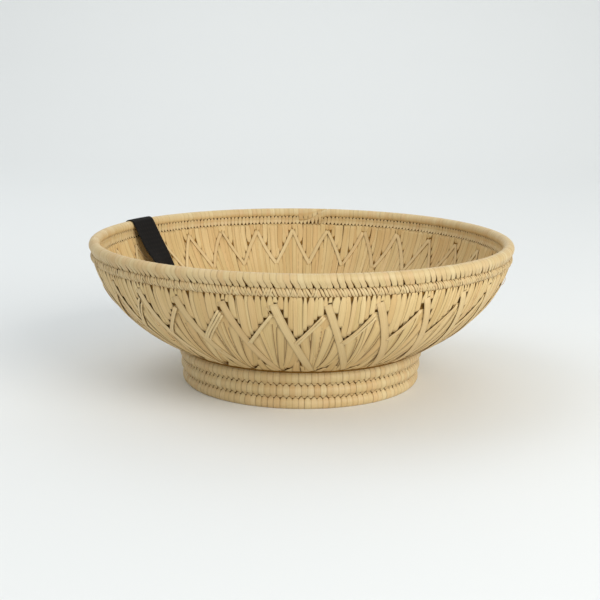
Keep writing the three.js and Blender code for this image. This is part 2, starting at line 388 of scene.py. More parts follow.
# Coils: level loops that climb to the next one behind the basket and thin away at both ends.
coilPlan = {"loopGap": 0.48, "tip": 0.45}
rimPlan = {"bundle": 6.4, "rowBundle": 5.2, "rowInset": 1.0, "climbAngle": 9, "climbAzimuth": 171}
footPlan = {"bundle": 7.2, "loops": 3, "batter": 0.9, "flat": 0.72, "climbAngle": 60, "climbAzimuth": 150}

rimBottom = rimHigh.z - rimPlan["bundle"]
rowBottom = rimBottom - coilPlan["loopGap"] - rimPlan["rowBundle"]
coilLoop = namedtuple("coilLoop", "centre bottom thickness")
rowCentre = basket["rimRadius"] - rimPlan["rowInset"] - rimPlan["rowBundle"] / 2
rimLoops = [
    coilLoop(rowCentre, rowBottom, rimPlan["rowBundle"]),
    coilLoop(basket["rimRadius"] - rimPlan["bundle"] / 2, rimBottom, rimPlan["bundle"]),
]
footLoops = [
    coilLoop(
        basket["footRadius"] - footPlan["bundle"] / 2 - (footPlan["loops"] - 1 - loop) * footPlan["batter"],
        loop * (footPlan["bundle"] + coilPlan["loopGap"]) - footPlan["flat"],
        footPlan["bundle"],
    )
    for loop in range(footPlan["loops"])
]


# Centre radius, height and half thickness at an angle along a coil.
def stackedCoil(coil, angle):
    loops = coil.loops
    last = len(loops) - 1
    loop = math.floor(angle / 360)
    climb = ease((angle - (loop + 1) * 360 + coil.climbAngle) / coil.climbAngle)
    if loop < 0:
        centre, bottom = loops[0].centre, loops[0].bottom
        thickness = mix(bottom, loops[1].bottom, climb) - coilPlan["loopGap"] - bottom
    elif loop >= last and climb > 0:
        below = loops[last - 1]
        top = loops[last].bottom + loops[last].thickness
        bottom = mix(below.bottom + below.thickness + coilPlan["loopGap"], top, climb)
        centre, thickness = loops[last].centre, top - bottom
    else:
        centre, bottom, thickness = mixAll(loops[min(loop, last)], loops[min(loop + 1, last)], climb)
    return centre, bottom + thickness / 2, thickness / 2


def makeCoil(loops, plan):
    coil = SimpleNamespace(loops=loops, climbAngle=plan["climbAngle"], climbAzimuth=plan["climbAzimuth"])
    # Every quarter degree, from 60 degrees before the first loop.
    angles = [step / 4 for step in range(-60 * 4, len(loops) * 360 * 4)]
    thick = [angle for angle in angles if stackedCoil(coil, angle)[2] * 2 >= coilPlan["tip"]]
    coil.first, coil.last = thick[0], thick[-1]
    return coil


rimCoil = makeCoil(rimLoops, rimPlan)
footCoil = makeCoil(footLoops, footPlan)


def coilAzimuth(coil, angle):
    return math.radians(coil.climbAzimuth - angle)


# A place on a coil's skin. Turn 0 faces outwards, 90 up; lift stands off the skin.
def onCoil(coil, angle, turn, lift):
    centre, height, half = stackedCoil(coil, angle)
    slope = math.radians(turn)
    out = centre + (half + lift) * math.cos(slope)
    up = max(height + (half + lift) * math.sin(slope), 0)
    return around(coilAzimuth(coil, angle), out, up)


# A bundle wrapped in strip: a long grid closed round the bundle, pinched between the wraps, with
# painted shade in the pinches.
def wrappedTube(work, rng, station, count, look):
    steps, sides = look["steps"], look["sides"]
    tones = [someTone(rng, look["tone"], 0.14) for _ in range(count + 1)]
    swell = [sway(rng, 1) * look["uneven"] for _ in range(count + 1)]
    for vert in addGrid(work.bm, count * steps, sides):
        step = round((vert.co.x + 0.5) * count * steps)
        side = round((vert.co.y + 0.5) * sides)
        wrap = min(step // steps, count)
        share = step / steps - wrap
        crest = abs(math.sin(math.pi * share)) ** 0.6
        slope = math.radians(180 - 360 * side / sides)
        azimuth, centre, height, halfWide, above, below = station(wrap + share)
        halfHigh = above if slope > 0 else below
        lift = swell[wrap] * crest - look["pinch"] * (1 - crest)
        up = max(height + (halfHigh + lift) * math.sin(slope), 0)
        run = (share - 0.5) * look["pitch"]
        vert[work.strip] = (run * toMetres, slope * halfWide * toMetres, tones[wrap])
        # Painted shade darkens the pinched places between wraps.
        vert[work.groove] = look["paintedShadeAmount"] * (1 - crest) ** 1.5
        vert.co = around(azimuth, centre + (halfWide + lift) * math.cos(slope), up)
    bm = work.bm
    bmesh.ops.remove_doubles(bm, verts=bm.verts[:], dist=1e-7)
    bmesh.ops.holes_fill(bm, edges=[edge for edge in bm.edges if edge.is_boundary], sides=sides + 2)
    bmesh.ops.recalc_face_normals(bm, faces=bm.faces[:])


# The grass under a coil's wraps. Neighbouring loops are pressed together, to keep light out.
def coilCore(name, coil, look, replaced):
    count = int((coil.last - coil.first) / math.degrees(look["pitch"] / coil.loops[0].centre))

    def station(wraps):
        angle = mix(coil.first + look["short"], coil.last - look["short"], wraps / count)
        centre, height, half = stackedCoil(coil, angle)
        loopAbove = ease((coil.last - 360 - angle) / look["fade"])
        loopBelow = ease((angle - coil.first - 360) / look["fade"])
        inset = max(half - look["inset"], look["thinnest"])
        above = mix(inset, half + look["join"], loopAbove)
        rest = half + look["under"] if "under" in look else inset
        below = mix(rest, half + look["join"], loopBelow)
        return coilAzimuth(coil, angle), centre, height, inset, above, below

    rng, work = startSeeded(look)
    wrappedTube(work, rng, station, count, look)
    finishPiece(name, work, grassCoreWithPaintedShade, replaced=replaced)


# A strip laid over a coil. Path is its line round the bundle; slide moves it to the right.
def coilStrip(work, rng, coil, angle, path, widths, slide, lift, crown, tilt, tone, length, edge, grid):
    centre, height, half = stackedCoil(coil, angle)
    tilt, tone = sway(rng, tilt), someTone(rng, *tone)

    def place(across, along):
        sideways = across * widths(along) + slide(along)
        local = angle - math.degrees(sideways / (centre + half))
        return path(local, along, lift + crown * (1 - 4 * across * across) + tilt * across)

    addStrip(work, place, (widths(0.5), length), tone, grid, edge)


# The wall's own grass bundles, coiled up from the floor and seen only in the gaps.
corePiece = {
    "outer": (-1.35, 0.9),  # lift, and how far it reaches past the wall's top
    "inner": (-5.2, -1.9), "scallop": 0.45, "steps": 6, "segments": 240,
    "base": ((70.4, 25.4), (69.4, 21.5), (73.2, 21.5)), "basePaintedShade": 0.1, "paintedShadeAmount": 0.6,
}


def makeWallCore():
    look = corePiece
    work = startPiece()
    bm, steps = work.bm, look["steps"]
    count = steps * round(wallLength / basket["bundlePitch"])
    points = []
    for side, (flat, overTop) in ((1, look["outer"]), (-1, look["inner"])):
        line = []
        for step in range(count + 1):
            # dark is 1 in the hollows between bundles: it sinks them and paints shade there.
            dark = 1 - abs(math.sin(math.pi * step / steps))
            rise = (wallLength + overTop) * step / count
            lift = flat - side * look["scallop"] * dark
            radius, height, outward, upward = wallAt(rise)
            height = max(height + upward * lift, wallLow.z)
            line.append((radius + outward * lift, height, rise, dark))
        points += line[::side]
    # The base sits on the foot and meets the floor. It gets a little painted shade, for the joint.
    points[0] = (*points[0][:3], look["basePaintedShade"])
    points += [(radius, height, 0, look["basePaintedShade"]) for radius, height in look["base"]]
    verts = []
    for radius, height, rise, dark in points:
        vert = bm.verts.new(around(0, radius, height))
        vert[work.strip] = (rise * toMetres, 0, 0.5)
        vert[work.groove] = dark * look["paintedShadeAmount"]
        verts.append(vert)
    edges = [bm.edges.new((verts[i], verts[(i + 1) % len(verts)])) for i in range(len(verts))]
    turned = {"cent": (0, 0, 0), "axis": (0, 0, 1), "angle": 2 * math.pi, "steps": look["segments"]}
    bmesh.ops.spin(bm, geom=verts + edges, use_merge=True, use_duplicate=False, **turned)
    bmesh.ops.recalc_face_normals(bm, faces=bm.faces[:])
    for vert in bm.verts:
        angle = math.atan2(vert.co.x, -vert.co.y)
        radius = math.hypot(vert.co.x, vert.co.y)
        vert[work.strip] = (vert[work.strip][0], angle * radius, 0.5 + 0.3 * noise.noise(vert.co * 80))
    finishPiece("wallCore", work, grassCoreWithPaintedShade, replaced=["bowl_wall"])


makeWallCore()
print("wall core done")


# Wide strips run down to the right from (0.5, top). Thin strands run back up from below them.
diagonalPiece = {"width": 4.3, "top": 71.7, "foot": 1.0, "run": 0.88, "seed": 41}
strandPiece = {
    "width": 1.35, "start": (0.9, 42.0), "end": (1.45, 64.5), "apart": 1.5, "thickness": 0.4,
    "seed": 51,
}


def diagonalRise(unit):
    return mix(diagonalPiece["top"], diagonalPiece["foot"], (unit - 0.5) / diagonalPiece["run"])


def strandRise(unit):
    (startUnit, startRise), (endUnit, endRise) = strandPiece["start"], strandPiece["end"]
    return mix(startRise, endRise, (unit - startUnit) / (endUnit - startUnit))


# Upper fans: flat strips that hang from the second row and end square, in steps that follow the
# wide strip on their left and the thin strands on their right.
fanPiece = {
    "left": (0.585, 0.95), "right": (0.95, 1.5), "last": 1.585, "lastRise": 72.4,
    "stepBack": 0.085, "leftHole": 5.1,
    "rightHole": 5.3, "overlap": 1.22, "topShare": 0.55, "wedge": 4.4, "overTop": 0.8, "lift": -0.72,
    "layer": 0.1, "crown": 0.07,
    "widthRise": 60,  # where the fibres take the strip's width from
    "seed": 21,
}


def fanStrips(rng):
    look = fanPiece
    leftCount, rightCount = rng.choice((3, 4, 4)), rng.choice((5, 6))
    edges = [mix(*look["left"], i / leftCount) for i in range(leftCount)]
    edges += [mix(*look["right"], i / rightCount) for i in range(rightCount + 1)]
    last = len(edges) - 1
    edges = [edge + (sway(rng, 0.022) if 0 < i < last else 0) for i, edge in enumerate(edges)]
    strips = []
    for index, (low, high) in enumerate(zip(edges, edges[1:])):
        if index < leftCount:
            end = diagonalRise(high - look["stepBack"]) + look["leftHole"]
        else:
            end = strandRise(low) + look["rightHole"]
        strips.append((low, high, end + sway(rng, 0.8)))
    return strips + [(edges[-1], look["last"], look["lastRise"])]


def makeUpperFans():
    look = fanPiece
    rng, work = startSeeded(look)
    top = wallLength + look["overTop"]
    for unit in units:
        for index, (low, high, end) in enumerate(fanStrips(rng)):
            length = top - end
            base = look["lift"] + look["layer"] * (index % 2) + rng.uniform(0, 0.06)
            tilt = sway(rng, 0.08)
            leanTop = sway(rng, 0.03)
            narrow = look["topShare"] * rng.uniform(0.85, 1.15)
            wedge = look["wedge"] * rng.uniform(0.75, 1.2)
            cut = sway(rng, 0.3)
            wide = (high - low) * look["overlap"] * rng.uniform(0.95, 1.05)
            middle = unit + (low + high) / 2

            def place(across, along):
                rise = mix(end + cut * across * 2, top, along)
                fromTop = (1 - along) * length
                pinch = mix(narrow, 1, ease((fromTop - 0.6) / wedge))
                where = middle + across * wide * pinch + leanTop * along
                lift = base + look["crown"] * (1 - 4 * across * across) + tilt * across * 2
                lift -= 0.25 * (1 - ease(along * length / 0.8)) + 0.2 * (1 - ease(fromTop / 2))
                return onWall(where, rise, lift)

            width = wide * unitWidth(middle, look["widthRise"])
            addStrip(work, place, (width, length), someTone(rng, 0.5, 0.13), (4, 10), 0.5)
    finishPiece("upperFans", work, palmLeaf, leafThickness, ["upper_fans"])


makeUpperFans()
print("upper fans done")


# Lower leaves: broad strips that spread up from the foot, and the small patches between them.
leafPiece = {
    "strips": 4, "foot": 1.38, "footSpread": 0.4,
    "footRise": (1, 9),  # from the left of a fan to its right
    "lift": -0.86, "backingLift": -0.98, "left": (0.93, 42.0), "top": (1.5, 65.0),
    "right": (1.94, 35.5), "cuts": (1.1, 0.5, -0.3, -0.8), "backings": (0.12, 0.32, 0.5, 0.7, 0.97),
    "seed": 31,
}
patchPiece = {"strips": 3, "apex": (1.95, 31.0), "left": 1.42, "right": 2.36, "cuts": (0.9, 0.3, -0.9)}


def leafTop(share):
    look = leafPiece
    if share < 0.5:
        return mixAll(look["left"], look["top"], share * 2)
    return mixAll(look["top"], look["right"], share * 2 - 1)


def makeLowerLeaves():
    look = leafPiece
    rng, work = startSeeded(look)
    count = look["strips"]
    for unit in units:
        order = rng.choice((1, -1))
        shares = [(index + 0.5) / count + sway(rng, 0.03) for index in range(count)]
        for index, share in enumerate((*look["backings"], *shares)):
            backing = index < len(look["backings"])
            topUnit, topRise = leafTop(share)
            footUnit = look["foot"] + (share - 0.5) * look["footSpread"] + sway(rng, 0.02)
            footRise = mix(*look["footRise"], ease((share - 0.5) / 0.4))
            base = look["backingLift"]
            if not backing:
                base = look["lift"] + 0.05 * order * (index - 6) + rng.uniform(0, 0.1)
            wallStrip(
                work, rng, (unit + footUnit, footRise),
                (unit + topUnit, topRise + rng.uniform(-0.4, 1.0)),
                widths=(4.4, 7.4) if backing else (rng.uniform(2.2, 3.2), rng.uniform(5.0, 6.6)),
                lifts=(base + 0.2, base + 0.1), crown=0.08,
                cut=0.2 if backing else look["cuts"][index - len(look["backings"])], tilt=0.13, bow=0.4,
                bulge=1.6 * ease((share - 0.55) / 0.4), dip=(0.2, 0.2),
                # Backing strips take a darker tone: painted shade for the gaps between the broad leaves over
                # them.
                tone=(0.26 if backing else 0.5, 0.12), edge=1.15, grid=(6, 12),
            )
        # A narrow split strip lies over the broad ones.
        topUnit, topRise = leafTop(rng.uniform(0.2, 0.75))
        wallStrip(
            work, rng, (unit + look["foot"] + sway(rng, 0.12), rng.uniform(2, 9)),
            (unit + topUnit, topRise + 0.6), widths=(0.8, rng.uniform(1.5, 2.4)), lifts=(-0.52, -0.56),
            bow=0.8, dip=(0.3, 0.2), edge=0.5,
        )
    look = patchPiece
    for unit in units:
        for index in range(look["strips"]):
            share = (index + 0.5) / look["strips"]
            foot = unit + mix(look["left"], look["right"], share) + sway(rng, 0.02)
            rise = look["apex"][1] * min(share / 0.6, (1 - share) / 0.4, 1) * rng.uniform(0.92, 1.0)
            wallStrip(
                work, rng, (foot, -0.6), (mix(foot, unit + look["apex"][0], 0.55), max(rise, 8)),
                widths=(5.0, 3.1), lifts=(-0.62, -0.8), crown=0.07, cut=look["cuts"][index], bow=0.2,
                dip=(0.2, 0.2), edge=0.9, grid=(6, 8),
            )
    finishPiece("lowerLeaves", work, palmLeaf, leafThickness, ["lower_leaves"])


makeLowerLeaves()
print("lower leaves done")


def makeDiagonalStrips():
    look = diagonalPiece
    rng, work = startSeeded(look)
    for unit in units:
        start = unit + 0.5 + sway(rng, 0.015)
        wide = look["width"] * rng.uniform(0.9, 1.08)
        wallStrip(
            work, rng, (start, look["top"] + sway(rng, 0.4)),
            (start + look["run"] + sway(rng, 0.02), look["foot"]),
            widths=lambda along, wide=wide: wide * (1 - 0.35 * ease((along - 0.7) / 0.3)),
            lifts=(-0.22, -0.28), crown=0.0, tilt=0.08, bow=0.45, dip=(0.3, 0.6), tuck=0.8,
            tone=(0.45, 0.1), edge=0.5, grid=(6, 24),
        )
    nodes = [f"diagonal_strip_{unit + 1:02d}" for unit in units]
    finishPiece("diagonalStrips", work, paleLeaf, leafThickness, nodes)


def makeThinStrands():
    look = strandPiece
    rng, work = startSeeded(look)
    for unit in units:
        count = 3 if rng.random() < 0.35 else 2
        for index in range(count):
            shift = (index - (count - 1) / 2) * look["apart"]
            (startUnit, startRise), (endUnit, endRise) = look["start"], look["end"]
            wallStrip(
                work, rng,
                (unit + startUnit + shift * 0.03, startRise - shift * 0.5 + sway(rng, 0.6)),
                (unit + endUnit + shift * 0.02, endRise - shift * 0.9 + sway(rng, 0.8)),
                widths=(look["width"] * rng.uniform(0.9, 1.25), look["width"] * rng.uniform(0.8, 1.1)),
                lifts=(-0.12, -0.08), crown=0.16, bow=0.4, dip=(0.4, 0.5), tone=(0.52, 0.1),
            )
    finishPiece("thinStrands", work, paleLeaf, look["thickness"])


makeDiagonalStrips()
makeThinStrands()
print("diagonal strips and thin strands done")


# Inside: upright strips in two tiers, and the pale zigzag strand over their meeting line.
innerPiece = {
    "perUnit": 10, "zigzagTop": 71.7, "zigzagDrop": 29.0, "foot": -0.8, "overTop": 0.5,
    "overlap": (1.3, 1.5), "lift": 0.03, "layer": 0.1, "upperLift": 0.2, "hole": (3.1, 3.8),
    "tongue": 3.6, "surface": -5.2, "seed": 61,
}
zigzagPiece = {"width": 2.8, "lifts": (0.52, 0.52), "thickness": 0.4, "seed": 62}


def innerEdge(unit):
    share = abs(unit - round(unit)) * 2
    return innerPiece["zigzagTop"] - innerPiece["zigzagDrop"] * share


def makeInnerStrips():
    look = innerPiece
    rng, work = startSeeded(look)
    for index in range(inside["count"] * look["perUnit"]):
        unit = (index + 0.5) / look["perUnit"] + sway(rng, 0.02)
        edge = innerEdge(unit)
        slope = -2 * look["zigzagDrop"] / unitWidth(unit, edge, inside)
        fromPeak = unit - round(unit)
        slope *= ease(abs(fromPeak) / 0.12) * (-1 if fromPeak < 0 else 1)
        wide = rng.uniform(*look["overlap"]) / look["perUnit"]
        lift = look["lift"] + look["layer"] * (index % 2) + rng.uniform(0, 0.05)
        top = wallLength + look["overTop"] + sway(rng, 0.3)
        hole = rng.uniform(*look["hole"]) - 1.4 * ease((abs(fromPeak) - 0.38) / 0.1)
        hole -= 0.9 * (1 - ease(abs(fromPeak) / 0.12))
        upper = (edge + hole, top, 0.43, lift + look["upperLift"])
        lower = (edge + 0.4, look["foot"], 0.4, lift)
        for low, high, tone, topLift in (upper, lower):
            if abs(high - low) < 1.6:
                continue
            taper = rng.uniform(0.3, 0.5) if high > low else 0

            # The upper strips end in tongues, which leave small dark gaps along the strand.
            def widths(along, low=low, high=high, taper=taper):
                tongue = ease(1 - (1 - along) * (high - low) / look["tongue"])
                return wide * unitWidth(unit, mix(high, low, along), inside) * (1 - taper * tongue)

            wallStrip(
                work, rng, (unit + sway(rng, 0.02), high), (unit, low), side=-1, spread=inside,
                base=look["surface"], widths=widths, lifts=(topLift, lift), crown=0.07,
                cut=slope * rng.uniform(0.25, 0.7) * (1 if high > low else -1), tilt=0.07, bow=0.25,
                dip=(0.25, 0.25), tuck=1.0, tone=(tone, 0.15), edge=0.32, grid=(4, 10),
            )
    finishPiece("innerStrips", work, palmLeaf, leafThickness)


def makeInnerZigzag():
    look = zigzagPiece
    rng, work = startSeeded(look)
    for half in range(inside["count"] * 2):
        start, end = half / 2, (half + 1) / 2
        wallStrip(
            work, rng, (start + sway(rng, 0.03), innerEdge(start) + sway(rng, 0.6)),
            (end + sway(rng, 0.03), innerEdge(end) + sway(rng, 0.6)), side=-1,
            spread=inside, base=innerPiece["surface"],
            widths=(look["width"] * rng.uniform(0.85, 1.1), look["width"] * rng.uniform(0.7, 1.0)),
            lifts=look["lifts"], crown=0.04, bow=0.75, tone=(0.5, 0.1), edge=0.45, grid=(4, 14),
        )
    finishPiece("innerZigzag", work, paleLeaf, look["thickness"], ["inner_zigzag"])


makeInnerStrips()
makeInnerZigzag()
print("inside strips done")


# Rim: one fat coil over a thinner row. Its wraps reach down over the joint on both sides. Outside
# they end narrow and slanted, with a row of dark slits between.
bundleLook = {
    "steps": 3, "pinch": 0.15, "uneven": 0.05, "inset": 0.45, "thinnest": 0.3, "short": 1.6,
    "paintedShadeAmount": 0.5, "tone": 0.4,
}
rimCorePiece = {**bundleLook, "pitch": 2.6, "sides": 16, "join": 0.28, "under": 0.55, "fade": 12, "seed": 71}
rimWrapPiece = {
    "pitch": 3.35, "overlap": 1.14, "turns": (-28, 203), "reach": 46, "innerEnd": 224,
    "tailReach": 150, "endLift": 0.12,
    "bridges": (0.15, 0.9), "slide": 1.9, "length": 19, "thickness": 0.3, "seed": 72,
}
rowStitchPiece = {
    "pitch": 1.75, "width": 1.86, "slide": 1.5, "turns": (-68, 64), "crossed": 0.28, "thickness": 0.26,
    "seed": 73,
}
rowWrapPiece = {
    "pitch": 2.65, "width": 2.85, "turns": (146, 172), "reach": 215, "tailReach": 132,
    "endLift": 0.12, "bridges": (0.34, 0.62),
    "wallRise": 0.2, "wallLift": -5.66, "thickness": 0.3, "seed": 74,
}


def makeRimWraps():
    look = rimWrapPiece
    rng, work = startSeeded(look)
    perWrap = math.degrees(look["pitch"] / rimCoil.loops[1].centre)
    (outer, inner), (low, high) = look["bridges"], look["turns"]

    # Up from the row's outside, over the rim and down its inside to the joint.
    def path(angle, along, lift):
        if along < outer:
            start = onCoil(rimCoil, angle - 360, look["reach"], lift + look["endLift"])
            return start.lerp(onCoil(rimCoil, angle, low, lift), along / outer)
        if along > inner:
            share = (along - inner) / (1 - inner)
            if angle > rimCoil.last - rimCoil.climbAngle:
                end = onCoil(rimCoil, angle - 360, look["tailReach"], lift + look["endLift"])
                return onCoil(rimCoil, angle, high, lift).lerp(end, share)
            return onCoil(rimCoil, angle, mix(high, look["innerEnd"], share), lift - 0.1 * share)
        return onCoil(rimCoil, angle, mix(low, high, (along - outer) / (inner - outer)), lift)

    angle = 360 - rimCoil.climbAngle * 0.6
    while angle < rimCoil.last - 0.3 * perWrap:
        wide = look["pitch"] * look["overlap"] * rng.uniform(0.96, 1.06)
        slit = rng.uniform(0.5, 0.7)
        tall = rng.uniform(0.16, 0.4)
        slide = look["slide"] * rng.uniform(0.75, 1.2)
        above = rng.uniform(0, 0.04)
        tip = rng.uniform(0.58, 0.76)

        def widths(along):
            foot = mix(slit, 0.8, min(along / (outer * 0.6), 1))
            foot = mix(foot, 1, ease((along - outer * 0.6) / tall))
            return wide * foot * mix(1, tip, ease((along - inner + 0.02) / (1 - inner)))

        coilStrip(
            work, rng, rimCoil, angle, path=path, widths=widths,
            slide=lambda along: slide * (1 - ease(along / 0.3)) - 0.8 * along, lift=above + 0.02,
            crown=0.05, tilt=0.04, tone=(0.54, 0.1),
            length=look["length"], edge=0.22, grid=(4, 26),
        )
        angle += perWrap * rng.uniform(0.92, 1.08)
    finishPiece("rimWraps", work, wrappedLeaf, look["thickness"])


# Slanted stitches cover the row outside. Upright ones inside hold it to the wall or its own start.
def makeRowStitches():
    first = rimCoil.first + 1.5
    last = 360 - rimCoil.climbAngle * 0.3
    radius = rimCoil.loops[0].centre
    look = rowStitchPiece
    rng, work = startSeeded(look)
    angle = first
    while angle < last:
        crossed = rng.random() < look["crossed"]
        wide = look["width"] * (0.6 if crossed else rng.uniform(0.86, 1.12))
        slide = look["slide"] * (-0.7 if crossed else rng.uniform(0.75, 1.25))
        above = 0.2 if crossed else rng.uniform(0, 0.1)
        coilStrip(
            work, rng, rimCoil, angle,
            path=lambda angle, along, lift: onCoil(rimCoil, angle, mix(*look["turns"], along), lift),
            widths=lambda along: wide * (0.5 + 0.5 * math.sin(math.pi * along) ** 0.6),
            slide=lambda along: slide * (1 - 2 * along), lift=above + 0.02, crown=0.14,
            tilt=0.14, tone=(0.5, 0.12), length=6, edge=0.95,
            grid=(4, 8),
        )
        angle += 0 if crossed else math.degrees(look["pitch"] / radius) * rng.uniform(0.8, 1.15)
    finishPiece("rowStitches", work, wrappedLeaf, look["thickness"])

    look = rowWrapPiece
    rng, work = startSeeded(look)
    upper, lower = look["bridges"]
    wallRadius, wallHeight, outward, upward = wallAt(wallLength + look["wallRise"])

    # Down from the rim's inside, over the joint and the row to the wall or to the loop below.
    def path(angle, along, lift):
        if along < upper:
            end = onCoil(rimCoil, angle, look["turns"][0], lift)
            if angle + 360 > rimCoil.last - 3:
                return end
            return onCoil(rimCoil, angle + 360, look["reach"], lift + 0.05).lerp(end, along / upper)
        if along < lower:
            return onCoil(rimCoil, angle, mix(*look["turns"], (along - upper) / (lower - upper)), lift)
        start = onCoil(rimCoil, angle, look["turns"][1], lift)
        end = onCoil(rimCoil, angle - 360, look["tailReach"], lift + look["endLift"])
        if angle < 360 + rimCoil.first + 4:
            sunk = look["wallLift"] - lift
            azimuth = coilAzimuth(rimCoil, angle)
            end = around(azimuth, wallRadius + outward * sunk, wallHeight + upward * sunk)
        return start.lerp(end, (along - lower) / (1 - lower))

    angle = first
    while angle < last:
        wide = look["width"] * rng.uniform(0.94, 1.06)
        tip = rng.uniform(0.4, 0.55)

        def widths(along):
            above = mix(tip, 1, ease(along / upper / 0.55))
            return wide * above * mix(1, tip - 0.14, ease((along - lower + 0.05) / 0.4))

        coilStrip(
            work, rng, rimCoil, angle, path=path, widths=widths, slide=lambda along: 0.6 * along, lift=0.04,
            crown=0.05, tilt=0.05, tone=(0.5, 0.08), length=6.5,
            edge=0.3, grid=(4, 14),
        )
        angle += math.degrees(look["pitch"] / radius) * rng.uniform(0.92, 1.08)
    finishPiece("rowWraps", work, wrappedLeaf, look["thickness"])


coilCore("rimCore", rimCoil, rimCorePiece, ["rim_coil"])
makeRimWraps()
makeRowStitches()
print("rim done")


# Foot: three loops, each wrapped side by side. The wraps' narrow ends cross each joint, which
# shows as a thin dark zigzag.
footCorePiece = {**bundleLook, "pitch": 3.5, "sides": 14, "join": 0.3, "fade": 20, "seed": 81}
footWrapPiece = {
    "perLoop": 129.5, "overlap": 1.1, "turn": 57, "reach": 54, "bridge": 0.2, "shy": 0.36, "fill": 0.8,
    "ends": (-100, 84), "thickness": 0.3, "seed": 82,
}


def makeFootWraps():
    look = footWrapPiece
    rng = random.Random(look["seed"])
    perWrap = 360 / look["perLoop"]
    turn, reach, bridge = look["turn"], look["reach"], look["bridge"]
    for name, side in (("footWraps", 1), ("footInnerWraps", -1)):
        work = startPiece()
        for index in range(int((footCoil.last - footCoil.first) / perWrap)):
            angle = footCoil.first + (index + 0.5 + sway(rng, 0.06)) * perWrap
            centre, height, half = stackedCoil(footCoil, angle)
            wide = math.radians(perWrap) * (centre + side * half)
            loopBelow = angle - 360 > footCoil.first + 4
            loopAbove = angle + 360 < footCoil.last - 4
            shy = look["shy"] * rng.uniform(0.8, 1.2)
            fill = look["fill"] * rng.uniform(0.94, 1.04)
            above = rng.uniform(0, 0.06)

            # Each end crosses the joint and lies on the next loop.
            def path(angle, along, lift):
                def skin(loop, turned, more=0):
                    return onCoil(footCoil, angle + loop, turned if side > 0 else 180 - turned, lift + more)

                if along < bridge and loopBelow:
                    return skin(-360, reach).lerp(skin(0, -turn), mix(shy, 1, along / bridge))
                if along > 1 - bridge and loopAbove:
                    return skin(360, -reach).lerp(skin(0, turn), mix(shy, 1, (1 - along) / bridge))
                low = -turn if loopBelow else look["ends"][0]
                high = turn if loopAbove else look["ends"][1]
                start = bridge if loopBelow else 0
                end = 1 - bridge if loopAbove else 1
                return skin(0, mix(low, high, (along - start) / (end - start)))

            def widths(along):
                near = min(along if loopBelow else 1, 1 - along if loopAbove else 1) / bridge
                if near > 1:
                    topEnd = 1 if loopAbove else mix(0.5, 1, min((1 - along) / 0.14, 1))
                    return wide * topEnd * mix(fill, look["overlap"], ease((near - 1) * 3))
                return wide * fill * mix(shy, 1, near)

            coilStrip(
                work, rng, footCoil, angle, path=path, widths=lambda along: side * widths(along),
                slide=lambda along: 0, lift=above - 0.05, crown=0.08, tilt=0.08,
                tone=(0.53, 0.1), length=8.5, edge=0.42, grid=(4, 20),
            )
        finishPiece(name, work, wrappedLeaf, look["thickness"])


coilCore("footCore", footCoil, footCorePiece, ["foot_coil"])
makeFootWraps()
print("foot done")


# Floor: one wrapped bundle wound flat from the middle.
floorPiece = {
    "bundle": 4.9, "radius": 71.4, "between": 0.9, "core": (71.8, 1.6), "pitch": 2.6, "steps": 4,
    "sides": 10, "pinch": 0.25, "uneven": 0.08, "paintedShadeAmount": 0.6, "tone": 0.45, "seed": 91,
}


def makeFloor():
    look = floorPiece
    half = look["bundle"] / 2
    room = look["radius"] - 2 * half - 0.6
    loops = int(room / (2 * half + look["between"]))
    spacing = room / loops
    places = []
    turn = 0.0
    while turn < loops + 0.9:
        radius = half + 0.6 + spacing * turn
        thinned = max(0, turn - loops) * spacing
        if turn > loops:
            radius = look["radius"] - (2 * half - thinned) / 2
        places.append((turn, radius, half - thinned / 2))
        turn += look["pitch"] / (2 * math.pi * radius)

    def station(wraps):
        index = int(wraps)
        turn, radius, half = mixAll(places[index], places[index + 1], wraps - index)
        wide = spacing / 2 + 0.15 if turn < loops else half + 0.3
        middle = floorLow.z + look["bundle"] / 2
        return -turn * 2 * math.pi, radius, middle, wide, half * 0.97, half * 0.97

    rng, work = startSeeded(look)
    wrappedTube(work, rng, station, len(places) - 2, look)
    finishPiece("floorCoil", work, wrappedLeaf, replaced=["floor_coil"])

    # The grass inside it keeps out light between the loops.
    work = startPiece()
    radius, thick = look["core"]
    turned = Matrix.Translation((0, 0, (floorLow.z + look["bundle"] / 2) * toMetres))
    size = {"radius1": radius * toMetres, "radius2": radius * toMetres, "depth": thick * toMetres}
    made = bmesh.ops.create_cone(work.bm, cap_ends=True, segments=96, matrix=turned, **size)
    for vert in made["verts"]:
        vert[work.strip] = (vert.co.x, vert.co.y, 0.4)
        # Painted shade: the whole core is darkened halfway towards the shade colour, for the gaps it shows
        # in.
        vert[work.groove] = 0.5
    finishPiece("floorCore", work, grassCoreWithPaintedShade)


makeFloor()
print("floor coil done")


# A few fibres that have come loose, as on any hand-made basket.
fibrePiece = {"count": 26, "width": 0.4, "seed": 95}


def makeLooseFibres():
    look = fibrePiece
    rng, work = startSeeded(look)
    places = [((-0.62, 70.0), (-0.44, 64.0))]
    for _ in range(look["count"]):
        unit, rise = rng.uniform(0, len(units)), rng.uniform(24, 68)
        places.append(((unit, rise), (unit + sway(rng, 0.16), rise + rng.uniform(3, 7))))
    for start, end in places:
        wallStrip(
            work, rng, start, end, widths=(look["width"], look["width"] * 0.5), lifts=(0.3, 0.5),
            arch=rng.uniform(0.1, 0.5), bow=1.2, tuck=0.8, tone=(0.7, 0.12), edge=0.1,
            grid=(2, 8),
        )
    finishPiece("looseFibres", work, paleLeaf, 0.15)


makeLooseFibres()
print("loose fibres done")


